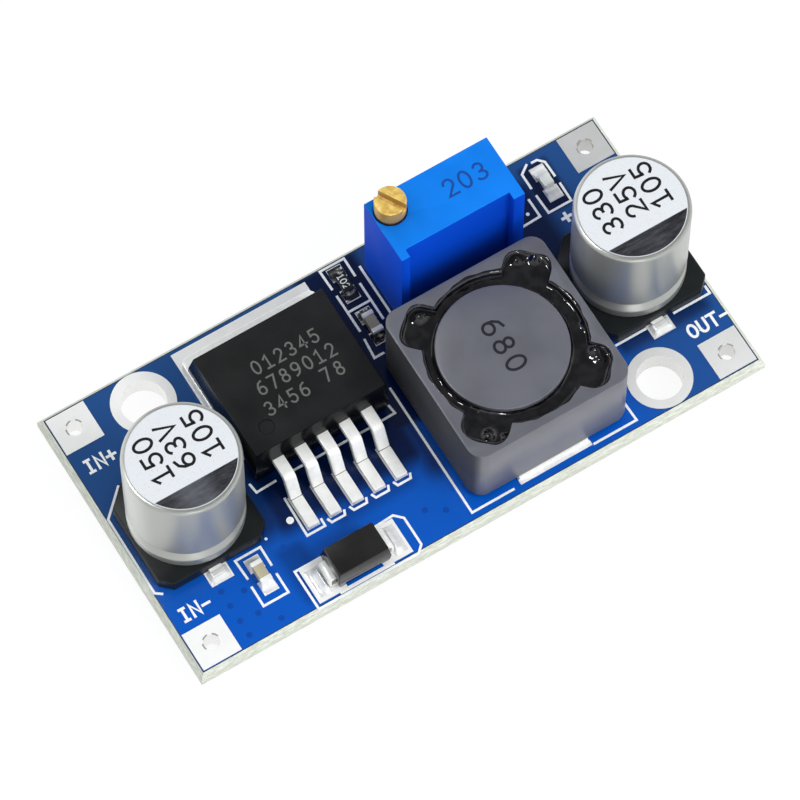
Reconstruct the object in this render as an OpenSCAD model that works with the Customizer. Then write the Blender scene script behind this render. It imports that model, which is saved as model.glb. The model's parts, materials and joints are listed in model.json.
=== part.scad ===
// Step-down (buck) converter module: a bare board with two electrolytic capacitors,
// a five-lead regulator, a shielded inductor, a multi-turn trimmer and small chips.
// +X runs along the board from the input end to the output end, +Y to the back, +Z up.
// Z = 0 is the plane the trimmer's pin ends stand on.

/* [Board] */
// Length of the board's faces
board_len = 43.2; // [43.2:0.1:60]
// Width of the board's faces
board_wid = 21; // [21:0.1:30]
// Thickness of the board
board_t = 1.6; // [1:0.1:2.4]
// How far the snapped scoring web stands out of the edges
web_out = 0.32; // [0.1:0.02:0.4]
// Thickness of that web
web_t = 0.6; // [0.4:0.05:0.8]
// Thickness of the lands and the hole plating
copper_t = 0.05; // [0.035:0.005:0.08]
// Diameter of the two mounting holes
mount_hole_d = 3.2; // [2.2:0.1:3.4]
// Width of the tinned ring around each mounting hole
mount_ring_w = 0.65; // [0.3:0.05:0.7]
// Mounting hole axis to the board's end
mount_end = 6.4; // [6.1:0.05:6.7]
// Mounting hole axis to the board's side
mount_side = 2.3; // [2.3:0.05:2.5]

/* [Wire pads] */
// Side of the square corner pads
wire_pad = 2.9; // [2:0.1:3]
// Corner pad to the board's edges
wire_pad_margin = 0.1; // [0.05:0.05:0.3]
// Diameter of the wire holes
wire_hole_d = 1.1; // [0.8:0.05:1.5]

/* [Capacitors] */
// Input capacitor's can diameter
in_can_d = 8; // [7:0.1:8.1]
// Output capacitor's can diameter
out_can_d = 7.9; // [7:0.1:8.1]
// Height of the cans
can_h = 9; // [6:0.1:12]
// Radius of the can's top shoulder
can_shoulder_r = 0.3; // [0.2:0.05:0.6]
// Depth of the crimped groove near the can's foot
can_groove = 0.35; // [0.15:0.05:0.5]
// Side of the square plastic base
cap_base_w = 8.2; // [8.2:0.05:8.4]
// Thickness of the plastic base
cap_base_h = 1.15; // [0.8:0.05:1.6]
// Chamfer of the base's back corners
cap_base_chamfer = 1.5; // [1:0.1:2]
// Chamfer of the base's front corners
cap_base_snip = 0.8; // [0.3:0.1:1.2]
// Width of the capacitor leads
cap_lead_w = 0.93; // [0.6:0.01:1.2]
// Thickness of the capacitor leads
cap_lead_t = 0.25; // [0.15:0.05:0.4]
// How far the leads stand out of the base
cap_lead_out = 0.7; // [0.4:0.05:1]
// Where the leads turn up into the can, from its axis
cap_lead_post = 1.6; // [1.2:0.1:2.2]
// How far the capacitors sit off the middle of their lands
cap_offset = 0.25; // [0:0.05:0.4]
// Input capacitor's axis along the board
in_cap_x = -16.95; // [-17.1:0.05:-16.9]
// Output capacitor's axis along the board
out_cap_x = 17.5; // [17.1:0.05:17.5]
// Capacitors' axes to the board's centre line
cap_y = -0.45; // [-0.6:0.05:0.2]

/* [Regulator] */
// Middle of the regulator along the board
reg_x = -6.7; // [-6.8:0.05:-6.6]
// Front face of the regulator's body
reg_front = -0.9; // [-1.1:0.05:-0.8]
// Width of the body at its parting line
reg_w = 10.26; // [9.8:0.02:10.3]
// Length of the body
reg_len = 9.05; // [8.6:0.05:9.1]
// Height of the body's top above the board
reg_h = 4.5; // [4.3:0.05:4.8]
// How much each side draws in from the parting line to the top
reg_draft = 0.14; // [0.05:0.01:0.3]
// How much the back face slopes in
reg_slope = 0.75; // [0.3:0.05:1.2]
// Thickness of the metal tab
tab_t = 1.25; // [0.9:0.05:1.4]
// How far the tab stands out behind the body
tab_out = 0.95; // [0.6:0.05:1.2]
// How far the tab's land reaches past the tab
tab_land_out = 1.1; // [0.3:0.05:1.1]
// Spacing of the leads
reg_pitch = 1.7; // [1.6:0.01:1.8]
// Width of the leads
reg_lead_w = 0.85; // [0.6:0.01:0.95]
// Thickness of the leads
reg_lead_t = 0.5; // [0.35:0.01:0.6]
// Height of the leads' centre line where they leave the body
reg_lead_z = 2.35; // [1.9:0.05:2.6]
// Straight run of a lead in front of the body
reg_lead_run = 1.35; // [0.9:0.05:1.6]
// Front end of the leads' feet to the body
reg_lead_reach = 4.55; // [4:0.05:4.7]

/* [Inductor] */
// Middle of the inductor along the board
ind_x = 6; // [6:0.05:6.3]
// Middle of the inductor across the board
ind_y = -3.4; // [-3.7:0.05:-3.4]
// Side of the square ferrite shield
ind_w = 12.2; // [11.8:0.05:12.2]
// Height of the shield's top above the board
ind_h = 6.8; // [5:0.1:8]
// Corner radius of the shield
ind_corner_r = 1.1; // [1:0.1:2.5]
// Wall of the shield at the middle of a side
ind_wall = 0.6; // [0.5:0.05:0.9]
// Wall of the shield at its corner pockets
ind_pocket_wall = 1.2; // [0.9:0.05:1.3]
// Width of the corner pockets
ind_pocket_w = 3.2; // [2.4:0.1:3.4]
// Corner radius of the pockets
ind_pocket_r = 1; // [0.5:0.1:1.1]
// Diameter of the drum core's flanges
drum_d = 9; // [8:0.05:9.4]
// How far the drum sits off the shield's middle, towards the input
drum_off_x = 0.25; // [0:0.05:0.3]
// How far the drum sits off the shield's middle, towards the back
drum_off_y = 0.1; // [0:0.05:0.2]
// Thickness of the drum's flanges
drum_flange_t = 0.8; // [0.6:0.05:1.2]
// Diameter of the drum's waist
drum_core_d = 5; // [4:0.1:6]
// Wire diameter of the winding
wire_d = 0.6; // [0.4:0.05:0.7]
// Depth of the potting resin below the shield's top
resin_drop = 0.65; // [0.4:0.05:0.75]
// Thickness of the ring of potting resin
resin_t = 1.2; // [0.8:0.1:2]
// Width of the inductor's terminals
ind_term_w = 5.4; // [4:0.1:6]
// Thickness of the inductor's terminals
ind_term_t = 0.3; // [0.2:0.05:0.4]
// Length of the inductor's terminals
ind_term_len = 2.6; // [2:0.1:3]
// How far the terminals stand out of the shield
ind_term_out = 0.1; // [0.05:0.05:0.3]

/* [Trimmer] */
// Middle of the trimmer along the board
trim_x = 7.25; // [7.2:0.05:7.5]
// Middle of the trimmer across the board
trim_y = 6.53; // [6.4:0.01:6.8]
// Length of the trimmer housing
trim_len = 9.5; // [9.2:0.1:9.6]
// Depth of the trimmer housing
trim_wid = 4.85; // [4.6:0.05:4.95]
// Height of the housing's top above the board
trim_h = 10.1; // [9:0.1:11]
// Height of the feet under the housing
trim_foot = 0.25; // [0.15:0.05:0.4]
// Depth of the recessed panel on the front
trim_recess = 0.6; // [0.3:0.05:0.8]
// Width of the rib at the input end of that panel
trim_rib_in = 0.65; // [0.5:0.05:0.9]
// Width of the rib at its output end
trim_rib_out = 0.85; // [0.7:0.05:1.5]
// Screw axis to the housing's end and back
screw_inset = 1.27; // [1.2:0.01:1.5]
// Diameter of the screw's head
screw_d = 2.19; // [1.8:0.01:2.3]
// Radial clearance of the screw in its bore
screw_fit = 0.055; // [0.02:0.005:0.1]
// How far the screw stands out of the housing
screw_out = 1.5; // [0.8:0.1:2]
// Depth of the screw's head in the housing
screw_in = 2.3; // [1.8:0.1:2.6]
// Width of the screwdriver slot
slot_w = 0.5; // [0.3:0.05:0.7]
// Depth of the screwdriver slot
slot_depth = 0.7; // [0.4:0.05:0.9]
// Direction of the slot at rest
slot_turn = -60; // [-90:1:90]
// Spacing of the trimmer's pins
pin_pitch = 2.54; // [2.3:0.01:2.8]
// Diameter of the trimmer's pins
pin_d = 0.5; // [0.4:0.02:0.6]
// Diameter of the pin holes in the board
pin_hole_d = 0.8; // [0.7:0.05:1]
// How far the pins stand out below the board
pin_below = 0.8; // [0.6:0.05:1.5]

/* [Diode] */
// Middle of the diode along the board
diode_x = -8.98; // [-9.2:0.02:-8.8]
// Middle of the diode to the board's front edge
diode_edge = 1.55; // [1.5:0.05:1.7]
// Length of the diode's body
diode_len = 4.05; // [3.8:0.05:4.3]
// Width of the diode's body
diode_wid = 2.5; // [2.3:0.05:2.6]
// Height of the diode's top above the board
diode_h = 2.2; // [2:0.05:2.4]
// Width of the diode's leads
diode_lead_w = 1.5; // [1.2:0.05:1.7]
// Thickness of the diode's leads
diode_lead_t = 0.2; // [0.15:0.01:0.25]

/* [Chips] */
// Length of the chip parts
chip_len = 1.6; // [1.5:0.05:1.7]
// Width of the chip parts
chip_wid = 0.82; // [0.7:0.02:0.9]
// Length of a chip's end caps
chip_cap = 0.32; // [0.2:0.02:0.45]
// Height of the chip capacitors
chip_cap_h = 0.8; // [0.6:0.05:0.9]
// Height of the chip resistor
chip_res_h = 0.45; // [0.35:0.05:0.6]
// Height of the indicator's circuit slip
led_slip_h = 0.22; // [0.15:0.01:0.3]
// Height of the whole indicator
led_h = 0.6; // [0.5:0.05:0.8]
// Input bypass capacitor along the board
bypass_x = -14.83; // [-15:0.01:-14.7]
// Input bypass capacitor across the board
bypass_y = -6.55; // [-6.8:0.05:-6.4]
// Feedback capacitor along the board
feedback_x = 0.76; // [0.6:0.01:0.8]
// Feedback capacitor across the board
feedback_y = 5.05; // [5:0.05:5.1]
// Resistor along the board
resistor_x = 0.7; // [0.5:0.05:0.9]
// Resistor across the board
resistor_y = 8.72; // [8.65:0.01:8.75]
// Indicator along the board
led_x = 16.35; // [16:0.05:16.6]
// Indicator across the board
led_edge = 2.47; // [2.3:0.01:2.6]

/* [Lands] */
// Width of a chip part's lands
chip_land_w = 1.1; // [0.9:0.05:1.2]
// Outer span of a chip part's lands
chip_land_span = 2.85; // [2.6:0.05:2.9]
// Length of one chip land
chip_land_len = 1.05; // [0.8:0.05:1.1]
// Width of a capacitor's lands
cap_land_w = 1.7; // [1.4:0.05:2]
// Length of a capacitor's lands
cap_land_len = 3.2; // [2.5:0.1:3.5]
// How far a land shows in front of a capacitor's or the inductor's terminal
land_show = 0.4; // [0.2:0.05:0.5]
// Width of the diode's lands
diode_land_w = 2.75; // [2.4:0.05:2.8]
// Outer span of the diode's lands
diode_land_span = 7.2; // [6.6:0.1:7.4]
// Length of one diode land
diode_land_len = 2.2; // [1.8:0.1:2.4]
// Length of a regulator lead's land
reg_land_len = 2.7; // [2.2:0.1:3]
// Width of the ring around a trimmer pin
pin_ring_w = 0.45; // [0.3:0.05:0.5]

/* [Hidden] */
$fn = 64;

under = pin_below;                  // underside of the board
top = under + board_t;              // upper face of the board
seat = top + copper_t;              // upper face of the lands
eps = 0.01;

mount_x = board_len / 2 - mount_end;
mount_y = board_wid / 2 - mount_side;
wire_x = board_len / 2 - wire_pad_margin - wire_pad / 2;
wire_y = board_wid / 2 - wire_pad_margin - wire_pad / 2;

can_foot = seat + cap_base_h;
can_top = can_foot + can_h;

reg_back = reg_front + reg_len;
tab_top = seat + tab_t;
tab_w = reg_w + 0.02;
slug_front = reg_front + 2;

ind_foot = seat + ind_term_t;
ind_top = top + ind_h;
resin_top = ind_top - resin_drop;
pocket_reach = (ind_w / 2 - ind_corner_r) * sqrt(2) + ind_corner_r - ind_pocket_wall;
tail_r = pocket_reach - wire_d;

trim_foot_z = top + trim_foot;
trim_top = top + trim_h;
screw_x = trim_x - trim_len / 2 + screw_inset;
screw_y = trim_y + trim_wid / 2 - screw_inset;
screw_r = screw_d / 2;
screw_bore_r = screw_r + screw_fit;
head_foot = trim_top - screw_in;
shank_r = 0.6;
shank_len = 3.2;
groove_r = 0.8;
o_ring_r = 0.2;
o_ring_z = trim_top - 1;
well_wall = 0.6;
well_depth = 1.2;
pin_pots = 0.9;
pin_top = trim_foot_z + pin_pots;

diode_y = -board_wid / 2 + diode_edge;
diode_mid = seat + 1.05;
led_y = board_wid / 2 - led_edge;
chip_skin = 0.03;

// ---- outlines and paths ----

function unit(v) = v / norm(v);

// Arc of radius r that rounds the corner b between a and c
function bend(a, b, c, r, n) =
    let (u = unit(a - b), v = unit(c - b), half = acos(u * v) / 2,
         o = b + unit(u + v) * r / sin(half),
         s = b + u * r / tan(half) - o, e = b + v * r / tan(half) - o,
         a0 = atan2(s[1], s[0]), turn = atan2(e[1], e[0]) - a0,
         da = turn > 180 ? turn - 360 : turn < -180 ? turn + 360 : turn)
    [for (i = [0:n]) o + r * [cos(a0 + da * i / n), sin(a0 + da * i / n)]];

// Open path with its inner corners rounded
function rounded(p, r, n) =
    [p[0], for (i = [1:len(p) - 2]) each bend(p[i - 1], p[i], p[i + 1], r, n), p[len(p) - 1]];

// Direction of a path at point i
function heading(p, i) =
    i == 0 ? unit(p[1] - p[0]) :
    i == len(p) - 1 ? unit(p[i] - p[i - 1]) :
    unit(unit(p[i + 1] - p[i]) + unit(p[i] - p[i - 1]));

// Strip of even thickness t along a path
function strip(p, t) = [
    for (i = [0:len(p) - 1]) p[i] + t / 2 * [-heading(p, i)[1], heading(p, i)[0]],
    for (i = [len(p) - 1:-1:0]) p[i] - t / 2 * [-heading(p, i)[1], heading(p, i)[0]]
];

// Rectangle with rounded corners, centred
function round_rect(w, l, r, n = 6) = [
    for (q = [0:3]) for (i = [0:n])
        let (a = 90 * (q + i / n), sx = q == 0 || q == 3 ? 1 : -1, sy = q < 2 ? 1 : -1)
        [sx * (w / 2 - r) + r * cos(a), sy * (l / 2 - r) + r * sin(a)]
];

// Extrusion along X of an outline given in Y and Z, and along Y of one in X and Z
module along_x(w) { rotate([90, 0, 90]) linear_extrude(w, center = true) children(); }
module along_y(w) { rotate([90, 0, 0]) linear_extrude(w, center = true) children(); }

// Copies at the four corners, and at the two diagonal mounting holes
module at_wires() { for (x = [-wire_x, wire_x], y = [-wire_y, wire_y]) translate([x, y, 0]) children(); }
module at_mounts() { for (s = [-1, 1]) translate([s * mount_x, -s * mount_y, 0]) children(); }
module at_pins() { for (i = [-1:1]) translate([trim_x + i * pin_pitch, trim_y, 0]) children(); }

// ---- board ----

function edge_profile(w) = [
    [-w / 2, under], [w / 2, under],
    [w / 2 + web_out, under + (board_t - web_t) / 2], [w / 2 + web_out, under + (board_t + web_t) / 2],
    [w / 2, top], [-w / 2, top],
    [-w / 2 - web_out, under + (board_t + web_t) / 2], [-w / 2 - web_out, under + (board_t - web_t) / 2]
];

module pcb() {
    color("royalblue") difference() {
        intersection() {
            along_x(2 * board_len) polygon(edge_profile(board_wid));
            along_y(2 * board_wid) polygon(edge_profile(board_len));
        }
        translate([0, 0, under - 1]) {
            at_wires() cylinder(h = board_t + 2, d = wire_hole_d + 2 * copper_t);
            at_mounts() cylinder(h = board_t + 2, d = mount_hole_d + 2 * copper_t);
            at_pins() cylinder(h = board_t + 2, d = pin_hole_d);
        }
    }
}

// Plated hole: a pad on each face, joined by the plating of the hole
module plated_hole(d) {
    difference() {
        union() {
            for (z = [under - copper_t, top]) translate([0, 0, z]) linear_extrude(copper_t) children();
            translate([0, 0, under]) cylinder(h = board_t, d = d + 2 * copper_t);
        }
        translate([0, 0, under - 1]) cylinder(h = board_t + 2, d = d);
    }
}

module corner_pads() {
    color("gainsboro") at_wires() plated_hole(wire_hole_d) square(wire_pad, center = true);
}

module mount_pads() {
    color("gainsboro") at_mounts() plated_hole(mount_hole_d) circle(d = mount_hole_d + 2 * mount_ring_w);
}

module land(x, y, w, l) { translate([x, y, top]) linear_extrude(copper_t) square([w, l], center = true); }

module chip_lands(x, y) {
    for (s = [-1, 1]) land(x, y + s * (chip_land_span - chip_land_len) / 2, chip_land_w, chip_land_len);
}

module smd_pads() {
    cap_land_y = cap_base_w / 2 + cap_lead_out + land_show - cap_land_len / 2;
    color("gainsboro") {
        for (x = [in_cap_x, out_cap_x], s = [-1, 1])
            land(x - cap_offset, cap_y + s * cap_land_y, cap_land_w, cap_land_len);
        for (i = [-2:2])
            land(reg_x + i * reg_pitch, reg_front - reg_lead_reach + reg_land_len / 2,
                 reg_lead_w + 0.1, reg_land_len);
        land(reg_x, (reg_back + tab_out + tab_land_out + slug_front) / 2,
             tab_w + 0.2, reg_back + tab_out + tab_land_out - slug_front);
        for (s = [-1, 1]) {
            land(ind_x, ind_y + s * (ind_w / 2 + land_show - ind_term_len / 2), ind_term_w + 0.1, ind_term_len);
            land(diode_x + s * (diode_land_span - diode_land_len) / 2, diode_y, diode_land_len, diode_land_w);
        }
        chip_lands(bypass_x, bypass_y);
        chip_lands(feedback_x, feedback_y);
        chip_lands(resistor_x, resistor_y);
        chip_lands(led_x, led_y);
        at_pins() for (z = [under - copper_t, top]) translate([0, 0, z]) difference() {
            cylinder(h = copper_t, d = pin_hole_d + 2 * pin_ring_w);
            translate([0, 0, -1]) cylinder(h = 2, d = pin_hole_d);
        }
    }
}

// ---- electrolytic capacitors ----

// Half section of the drawn can: rolled foot, crimped groove, wall and shoulder
function can_section(r) = concat(
    [[0, 0], [r - 0.3, 0]],
    bend([r - 0.6, 0], [r, 0], [r, 0.9], 0.25, 4),
    bend([r, 0.3], [r, 0.95], [r - can_groove, 1.35], 0.3, 4),
    bend([r, 0.95], [r - can_groove, 1.4], [r - can_groove, 1.9], 0.2, 3),
    bend([r - can_groove, 1.4], [r - can_groove, 1.8], [r, 2.15], 0.2, 3),
    bend([r - can_groove, 1.8], [r, 2.2], [r, 3], 0.3, 4),
    bend([r, can_h - 1], [r, can_h], [r - 1, can_h], can_shoulder_r, 6),
    [[0, can_h]]
);

module cap_can(x, d) {
    color("silver") translate([x, cap_y, can_foot]) rotate_extrude() polygon(can_section(d / 2));
}

// Lead of a capacitor: a strip under the base that turns up through it to the can
module cap_lead(x, s) {
    reach = cap_base_w / 2 + cap_lead_out;
    post = cap_lead_post;
    z = seat + cap_lead_t / 2;
    color("gainsboro") translate([x - cap_offset, cap_y, 0]) along_x(cap_lead_w)
        polygon(strip([[s * post, can_foot], [s * post, z], [s * reach, z]], cap_lead_t));
}

module cap_base(x) {
    h = cap_base_w / 2;
    color("darkslategray") difference() {
        translate([x, cap_y, seat]) linear_extrude(cap_base_h) polygon([
            [-h + cap_base_snip, -h], [h - cap_base_snip, -h], [h, -h + cap_base_snip],
            [h, h - cap_base_chamfer], [h - cap_base_chamfer, h],
            [-h + cap_base_chamfer, h], [-h, h - cap_base_chamfer], [-h, -h + cap_base_snip]
        ]);
        for (s = [-1, 1]) {
            translate([x - cap_offset, cap_y + s * (cap_lead_post + h), seat])
                cube([cap_lead_w, 2 * h + cap_lead_t, 2 * cap_lead_t], center = true);
            translate([x - cap_offset, cap_y + s * cap_lead_post, seat])
                cube([cap_lead_w, cap_lead_t, 3 * cap_base_h], center = true);
        }
    }
}

module input_cap_can() { cap_can(in_cap_x, in_can_d); }
module input_cap_base() { cap_base(in_cap_x); }
module input_cap_lead_a() { cap_lead(in_cap_x, -1); }
module input_cap_lead_b() { cap_lead(in_cap_x, 1); }
module output_cap_can() { cap_can(out_cap_x, out_can_d); }
module output_cap_base() { cap_base(out_cap_x); }
module output_cap_lead_a() { cap_lead(out_cap_x, -1); }
module output_cap_lead_b() { cap_lead(out_cap_x, 1); }

// ---- regulator ----

function gull_wing() = let (y0 = reg_front, zt = top + reg_lead_z, zf = seat + reg_lead_t / 2)
    rounded([[y0 + 1.2, zt], [y0 - reg_lead_run, zt], [y0 - reg_lead_run - 0.75, zf],
             [y0 - reg_lead_reach, zf]], 0.34, 4);

module regulator_lead(i) {
    color("gainsboro") translate([reg_x + (i - 3) * reg_pitch, 0, 0])
        along_x(reg_lead_w) polygon(strip(gull_wing(), reg_lead_t));
}

module regulator_tab() {
    c = 0.3;
    y1 = reg_back + tab_out;
    color("gainsboro") translate([reg_x, 0, seat]) linear_extrude(tab_t) polygon([
        [-tab_w / 2, slug_front], [tab_w / 2, slug_front],
        [tab_w / 2, y1 - c], [tab_w / 2 - c, y1], [-tab_w / 2 + c, y1], [-tab_w / 2, y1 - c]
    ]);
}

module regulator_body() {
    zp = top + reg_lead_z;
    zt = top + reg_h;
    color("#2d2f30") difference() {
        intersection() {
            translate([reg_x, 0, 0]) along_x(reg_w + 1) polygon([
                [reg_front + 0.25, seat + 0.05], [reg_front, zp], [reg_front + 0.15, zt],
                [reg_back - reg_slope, zt], [reg_back, tab_top], [reg_back, seat + 0.05]
            ]);
            translate([reg_x, 0, 0]) along_y(100) polygon([
                [-reg_w / 2 + 0.12, seat], [reg_w / 2 - 0.12, seat], [reg_w / 2, zp],
                [reg_w / 2 - reg_draft, zt], [-reg_w / 2 + reg_draft, zt], [-reg_w / 2, zp]
            ]);
        }
        translate([reg_x - reg_w, slug_front, seat - 1]) cube([2 * reg_w, reg_len + 1, tab_t + 1]);
        for (i = [1:5]) regulator_lead(i);
        // pin-one dimple of the mould
        translate([reg_x - reg_w / 2 + 1.85, reg_front + 1.6, zt - 0.08]) cylinder(h = 1, r1 = 0.5, r2 = 1.1);
    }
}

module regulator_lead_1() { regulator_lead(1); }
module regulator_lead_2() { regulator_lead(2); }
module regulator_lead_3() { regulator_lead(3); }
module regulator_lead_4() { regulator_lead(4); }
module regulator_lead_5() { regulator_lead(5); }

// ---- shielded inductor ----

module at_inductor(z) { translate([ind_x, ind_y, z]) children(); }
module at_drum(z) { translate([ind_x - drum_off_x, ind_y + drum_off_y, z]) children(); }

// Opening of the shield: a round hole with four pockets on the diagonals
module shield_opening(z, h) {
    at_inductor(z) {
        cylinder(h = h, d = ind_w - 2 * ind_wall);
        for (a = [45, 135]) rotate(a) linear_extrude(h) polygon(round_rect(2 * pocket_reach, ind_pocket_w, ind_pocket_r));
    }
}

module inductor_shield() {
    color("#73737d") difference() {
        at_inductor(ind_foot) linear_extrude(ind_top - ind_foot)
            polygon(round_rect(ind_w, ind_w, ind_corner_r, 8));
        shield_opening(ind_foot - 1, ind_h + 2);
    }
}

module inductor_drum() {
    h = ind_top - ind_foot;
    r = drum_d / 2;
    color("#73737d") at_drum(ind_foot) rotate_extrude() polygon([
        [0, 0], [r, 0], [r, drum_flange_t], [drum_core_d / 2, drum_flange_t],
        [drum_core_d / 2, h - drum_flange_t], [r, h - drum_flange_t], [r, h], [0, h]
    ]);
}

// Outer layer of the winding: one bulge for each turn
function winding_section(n, r0, r1, z0) = concat(
    [[r0, z0]],
    [for (i = [0:n - 1]) for (a = [-90:30:60])
        [r1 - wire_d / 2 + wire_d / 2 * cos(a), z0 + wire_d * (i + 0.5) + wire_d / 2 * sin(a)]],
    [[r1 - wire_d / 2, z0 + wire_d * n], [r0, z0 + wire_d * n]]
);

// Wire tail: out of the winding into a pocket of the shield and down to the board
module wire_tail(a) {
    z = resin_top - wire_d / 2;
    at_inductor(0) rotate(a) {
        translate([drum_core_d / 2 + 0.5, 0, z - 0.55]) rotate([0, 90, 0])
            cylinder(h = tail_r - drum_core_d / 2 - 0.5, d = wire_d);
        translate([tail_r, 0, ind_foot]) cylinder(h = z - 0.55 + wire_d / 2 - ind_foot, d = wire_d);
    }
}
tail_turns = [50, 126];

module inductor_winding() {
    n = floor((ind_top - ind_foot - 2 * drum_flange_t) / wire_d);
    color("#b06a3a") union() {
        at_drum(0) rotate_extrude()
            polygon(winding_section(n, drum_core_d / 2, drum_d / 2 - 0.15, ind_foot + drum_flange_t));
        for (a = tail_turns) wire_tail(a);
    }
}

module inductor_resin() {
    color("#15161a") difference() {
        shield_opening(resin_top - resin_t, resin_t);
        at_drum(0) cylinder(h = ind_top + 1, d = drum_d);
        for (a = tail_turns) wire_tail(a);
    }
}

module inductor_terminal(s) {
    color("gainsboro") translate([ind_x, ind_y + s * (ind_w / 2 + ind_term_out - ind_term_len / 2), seat + ind_term_t / 2])
        cube([ind_term_w, ind_term_len, ind_term_t], center = true);
}
module inductor_terminal_a() { inductor_terminal(-1); }
module inductor_terminal_b() { inductor_terminal(1); }

// ---- trimmer ----

module trimmer_housing() {
    x0 = -trim_len / 2;
    x1 = trim_len / 2;
    y0 = -trim_wid / 2;
    y1 = trim_wid / 2;
    color("#1c6fff") difference() {
        union() {
            translate([trim_x, trim_y, trim_foot_z]) linear_extrude(trim_top - trim_foot_z) polygon([
                [x0, y0], [x0 + trim_rib_in, y0], [x0 + trim_rib_in, y0 + trim_recess],
                [x1 - trim_rib_out, y0 + trim_recess], [x1 - trim_rib_out, y0], [x1, y0], [x1, y1], [x0, y1]
            ]);
            // feet that hold the housing off the board
            for (x = [x0, x1 - 0.6], y = [y0, y1 - 0.6])
                translate([trim_x + x, trim_y + y, top]) cube([0.6, 0.6, trim_foot]);
        }
        // potting well in the underside
        translate([trim_x, trim_y + trim_recess / 2, trim_foot_z - eps])
            linear_extrude(well_depth + eps)
            square([trim_len - 2 * well_wall, trim_wid - trim_recess - 2 * well_wall], center = true);
        // bore for the screw's head and shank
        translate([screw_x, screw_y, head_foot]) cylinder(h = screw_in + 1, r = screw_bore_r);
        translate([screw_x, screw_y, head_foot - shank_len])
            cylinder(h = shank_len + eps, r = shank_r + screw_fit);
    }
}

module trimmer_base() {
    color("#e8e4d8") difference() {
        translate([trim_x, trim_y + trim_recess / 2, trim_foot_z + 0.1]) linear_extrude(well_depth - 0.1)
            square([trim_len - 2 * well_wall, trim_wid - trim_recess - 2 * well_wall], center = true);
        at_pins() cylinder(h = pin_top, d = pin_d);
    }
}

// Brass screw: slotted head, groove for the ring, and the shank below
module trimmer_screw() {
    head = trim_top + screw_out;
    color("#cdb464") translate([screw_x, screw_y, 0]) difference() {
        rotate_extrude() polygon([
            [0, head_foot - shank_len + screw_fit], [shank_r, head_foot - shank_len + screw_fit],
            [shank_r, head_foot + screw_fit], [screw_r, head_foot + screw_fit],
            [screw_r, o_ring_z - o_ring_r], [groove_r, o_ring_z - o_ring_r],
            [groove_r, o_ring_z + o_ring_r], [screw_r, o_ring_z + o_ring_r],
            [screw_r, head - 0.06], [screw_r - 0.06, head], [0, head]
        ]);
        rotate(slot_turn) translate([0, 0, head]) cube([2 * screw_d, slot_w, 2 * slot_depth], center = true);
    }
}

module trimmer_o_ring() {
    color("#202020") translate([screw_x, screw_y, o_ring_z]) rotate_extrude()
        translate([(groove_r + screw_r) / 2, 0]) circle(r = (screw_r - groove_r) / 2);
}

module trimmer_pin(i) {
    color("gainsboro") translate([trim_x + (i - 2) * pin_pitch, trim_y, 0]) rotate_extrude() polygon([
        [0, 0], [pin_d / 2 - 0.06, 0], [pin_d / 2, 0.06], [pin_d / 2, pin_top], [0, pin_top]
    ]);
}
module trimmer_pin_1() { trimmer_pin(1); }
module trimmer_pin_2() { trimmer_pin(2); }
module trimmer_pin_3() { trimmer_pin(3); }

// Solder in the pin holes, with a fillet on the underside
module trimmer_solder() {
    r0 = pin_d / 2;
    r1 = pin_hole_d / 2;
    r2 = r1 + pin_ring_w - 0.05;
    zr = under - copper_t;
    zf = 0.2;
    color("gainsboro") at_pins() rotate_extrude() polygon([
        [r0, top + copper_t], [r0, zf], [r0 + 0.05, zf], [r0 + 0.12, zf + (zr - zf) * 0.4],
        [(r0 + r2) / 2, zf + (zr - zf) * 0.8], [r2, zr], [r1, zr], [r1, top + copper_t]
    ]);
}

// ---- diode ----

function j_lead(s) = let (e = s * diode_len / 2, zl = seat + diode_lead_t / 2)
    rounded([[e - s * 0.5, diode_mid], [e + s * 0.36, diode_mid], [e + s * 0.36, zl], [e - s * 1.1, zl]], 0.2, 4);

module diode_lead(s) {
    color("gainsboro") translate([diode_x, diode_y, 0]) along_y(diode_lead_w)
        polygon(strip(j_lead(s), diode_lead_t));
}

module diode_body() {
    zb = seat + diode_lead_t;
    zt = top + diode_h;
    l = diode_len / 2;
    w = diode_wid / 2;
    color("#1d1e20") difference() {
        translate([diode_x, diode_y, 0]) intersection() {
            along_y(diode_wid + 1) polygon([[-l + 0.1, zb], [l - 0.1, zb], [l, diode_mid], [l - 0.15, zt],
                                            [-l + 0.15, zt], [-l, diode_mid]]);
            along_x(diode_len + 1) polygon([[-w + 0.1, zb], [w - 0.1, zb], [w, diode_mid], [w - 0.15, zt],
                                            [-w + 0.15, zt], [-w, diode_mid]]);
        }
        for (s = [-1, 1]) diode_lead(s);
    }
}
module diode_lead_anode() { diode_lead(1); }
module diode_lead_cathode() { diode_lead(-1); }

// ---- chip parts, all lying across the board ----

module chip_core(x, y, h) {
    translate([x, y, seat + h / 2]) cube([chip_wid - 2 * chip_skin, chip_len - 2 * chip_skin, h - 2 * chip_skin],
                                         center = true);
}

module chip_caps(x, y, h) {
    difference() {
        for (s = [-1, 1]) translate([x, y + s * (chip_len - chip_cap) / 2, seat + h / 2])
            cube([chip_wid, chip_cap, h], center = true);
        chip_core(x, y, h);
    }
}

module resistor_body() { color("#222428") chip_core(resistor_x, resistor_y, chip_res_h); }
module resistor_terminals() { color("gainsboro") chip_caps(resistor_x, resistor_y, chip_res_h); }
module bypass_cap_body() { color("#c8c3a5") chip_core(bypass_x, bypass_y, chip_cap_h); }
module bypass_cap_terminals() { color("gainsboro") chip_caps(bypass_x, bypass_y, chip_cap_h); }
module feedback_cap_body() { color("#8c8773") chip_core(feedback_x, feedback_y, chip_cap_h); }
module feedback_cap_terminals() { color("gainsboro") chip_caps(feedback_x, feedback_y, chip_cap_h); }

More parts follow.
